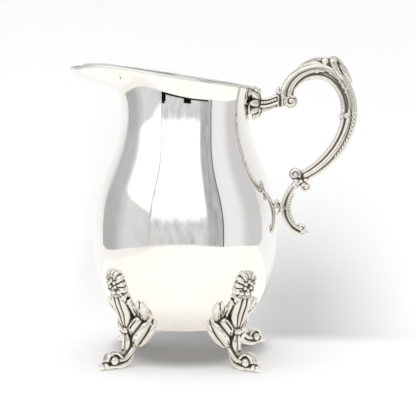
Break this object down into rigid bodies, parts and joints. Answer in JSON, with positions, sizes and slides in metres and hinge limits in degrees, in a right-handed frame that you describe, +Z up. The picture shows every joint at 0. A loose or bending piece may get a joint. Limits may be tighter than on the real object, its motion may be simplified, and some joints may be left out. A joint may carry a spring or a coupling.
{
  "type": "water pitcher",
  "caption": "Footed metal water pitcher with a pear-shaped body, wide spout, ice guard, scroll handle and cast scroll feet.",
  "frame": {"origin": "on the floor that the feet stand on, below the middle of the overall length, in the plane of spout and handle", "axes": "+Z up, spout towards -X, handle towards +X; the axis of the round body is the line x = -0.02225, y = 0"},
  "size_m": [0.2298, 0.148, 0.2425],
  "materials": {
    "plate": "mirror-polished silver plate on sheet, with fine cleaning scratches",
    "casting": "polished silver plate on castings, with dark tarnish left in the recesses"
  },
  "bodies": {
    "pitcher": {"body_shell": "plate", "rim_wire": "plate", "ice_guard": "plate", "handle_upper_bracket": "casting", "handle_scroll_front": "casting", "handle_scroll_back": "casting", "handle_thumb_leaf": "casting", "handle_lower_bracket": "casting", "leg_front_left": "casting", "leg_front_right": "casting", "leg_back_left": "casting", "leg_back_right": "casting"}
  },
  "joints": []
}
